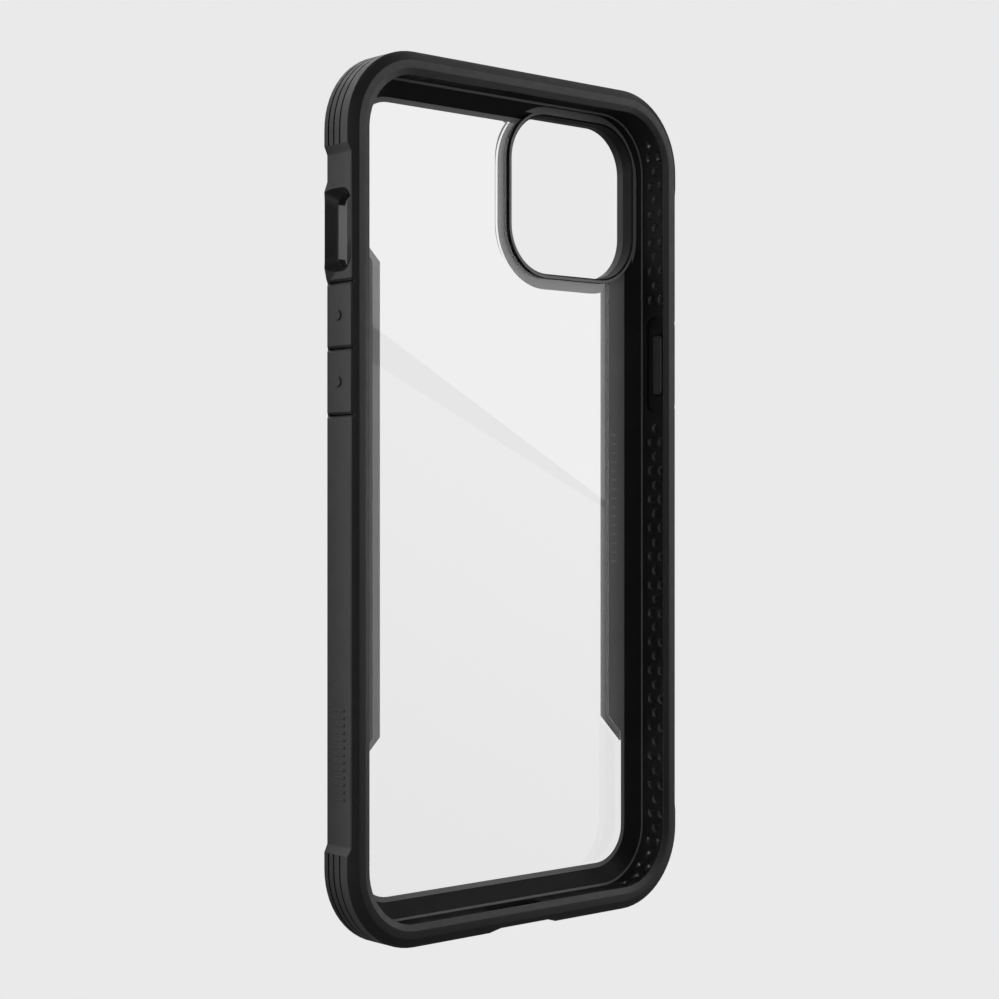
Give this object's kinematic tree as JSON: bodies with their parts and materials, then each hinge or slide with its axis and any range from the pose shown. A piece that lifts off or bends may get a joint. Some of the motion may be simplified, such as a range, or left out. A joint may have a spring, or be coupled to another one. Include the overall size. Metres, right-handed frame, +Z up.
{
  "type": "phone case",
  "caption": "Rugged bumper phone case with a raised lip, dimpled inner walls, clear back window, camera opening and pressable side button covers.",
  "frame": {"origin": "centre of the bottom edge, on the surface the case stands on, midway through its depth", "axes": "+Z up along the phone's length, +X to the right seen from the open screen side, +Y towards the back"},
  "size_m": [0.087, 0.0126, 0.1686],
  "materials": {
    "frame_shell": "satin black moulded polycarbonate",
    "liner_rubber": "matte black soft moulded rubber",
    "back_shell": "satin black",
    "clear_panel": "clear polished",
    "ring_trim": "satin black",
    "button_cap": "satin black moulded polycarbonate",
    "button_pad": "matte black soft rubber"
  },
  "bodies": {
    "case": {"outer_frame": "frame_shell", "inner_liner": "liner_rubber", "back_frame": "back_shell", "clear_back_panel": "clear_panel", "camera_ring": "ring_trim"},
    "volume_up": {"volume_up_cap": "button_cap", "volume_up_plunger": "button_pad"},
    "volume_down": {"volume_down_cap": "button_cap", "volume_down_plunger": "button_pad"},
    "power": {"power_cap": "button_cap", "power_plunger": "button_pad"}
  },
  "joints": [
    {"name": "volume_up_press", "type": "slide", "parent": "case", "child": "volume_up", "axis": [1, 0, 0], "range_m": [0, 0.00045], "stiffness_N_per_m": 1500},
    {"name": "volume_down_press", "type": "slide", "parent": "case", "child": "volume_down", "axis": [1, 0, 0], "range_m": [0, 0.00045], "stiffness_N_per_m": 1500},
    {"name": "power_press", "type": "slide", "parent": "case", "child": "power", "axis": [-1, 0, 0], "range_m": [0, 0.00045], "stiffness_N_per_m": 1500}
  ]
}
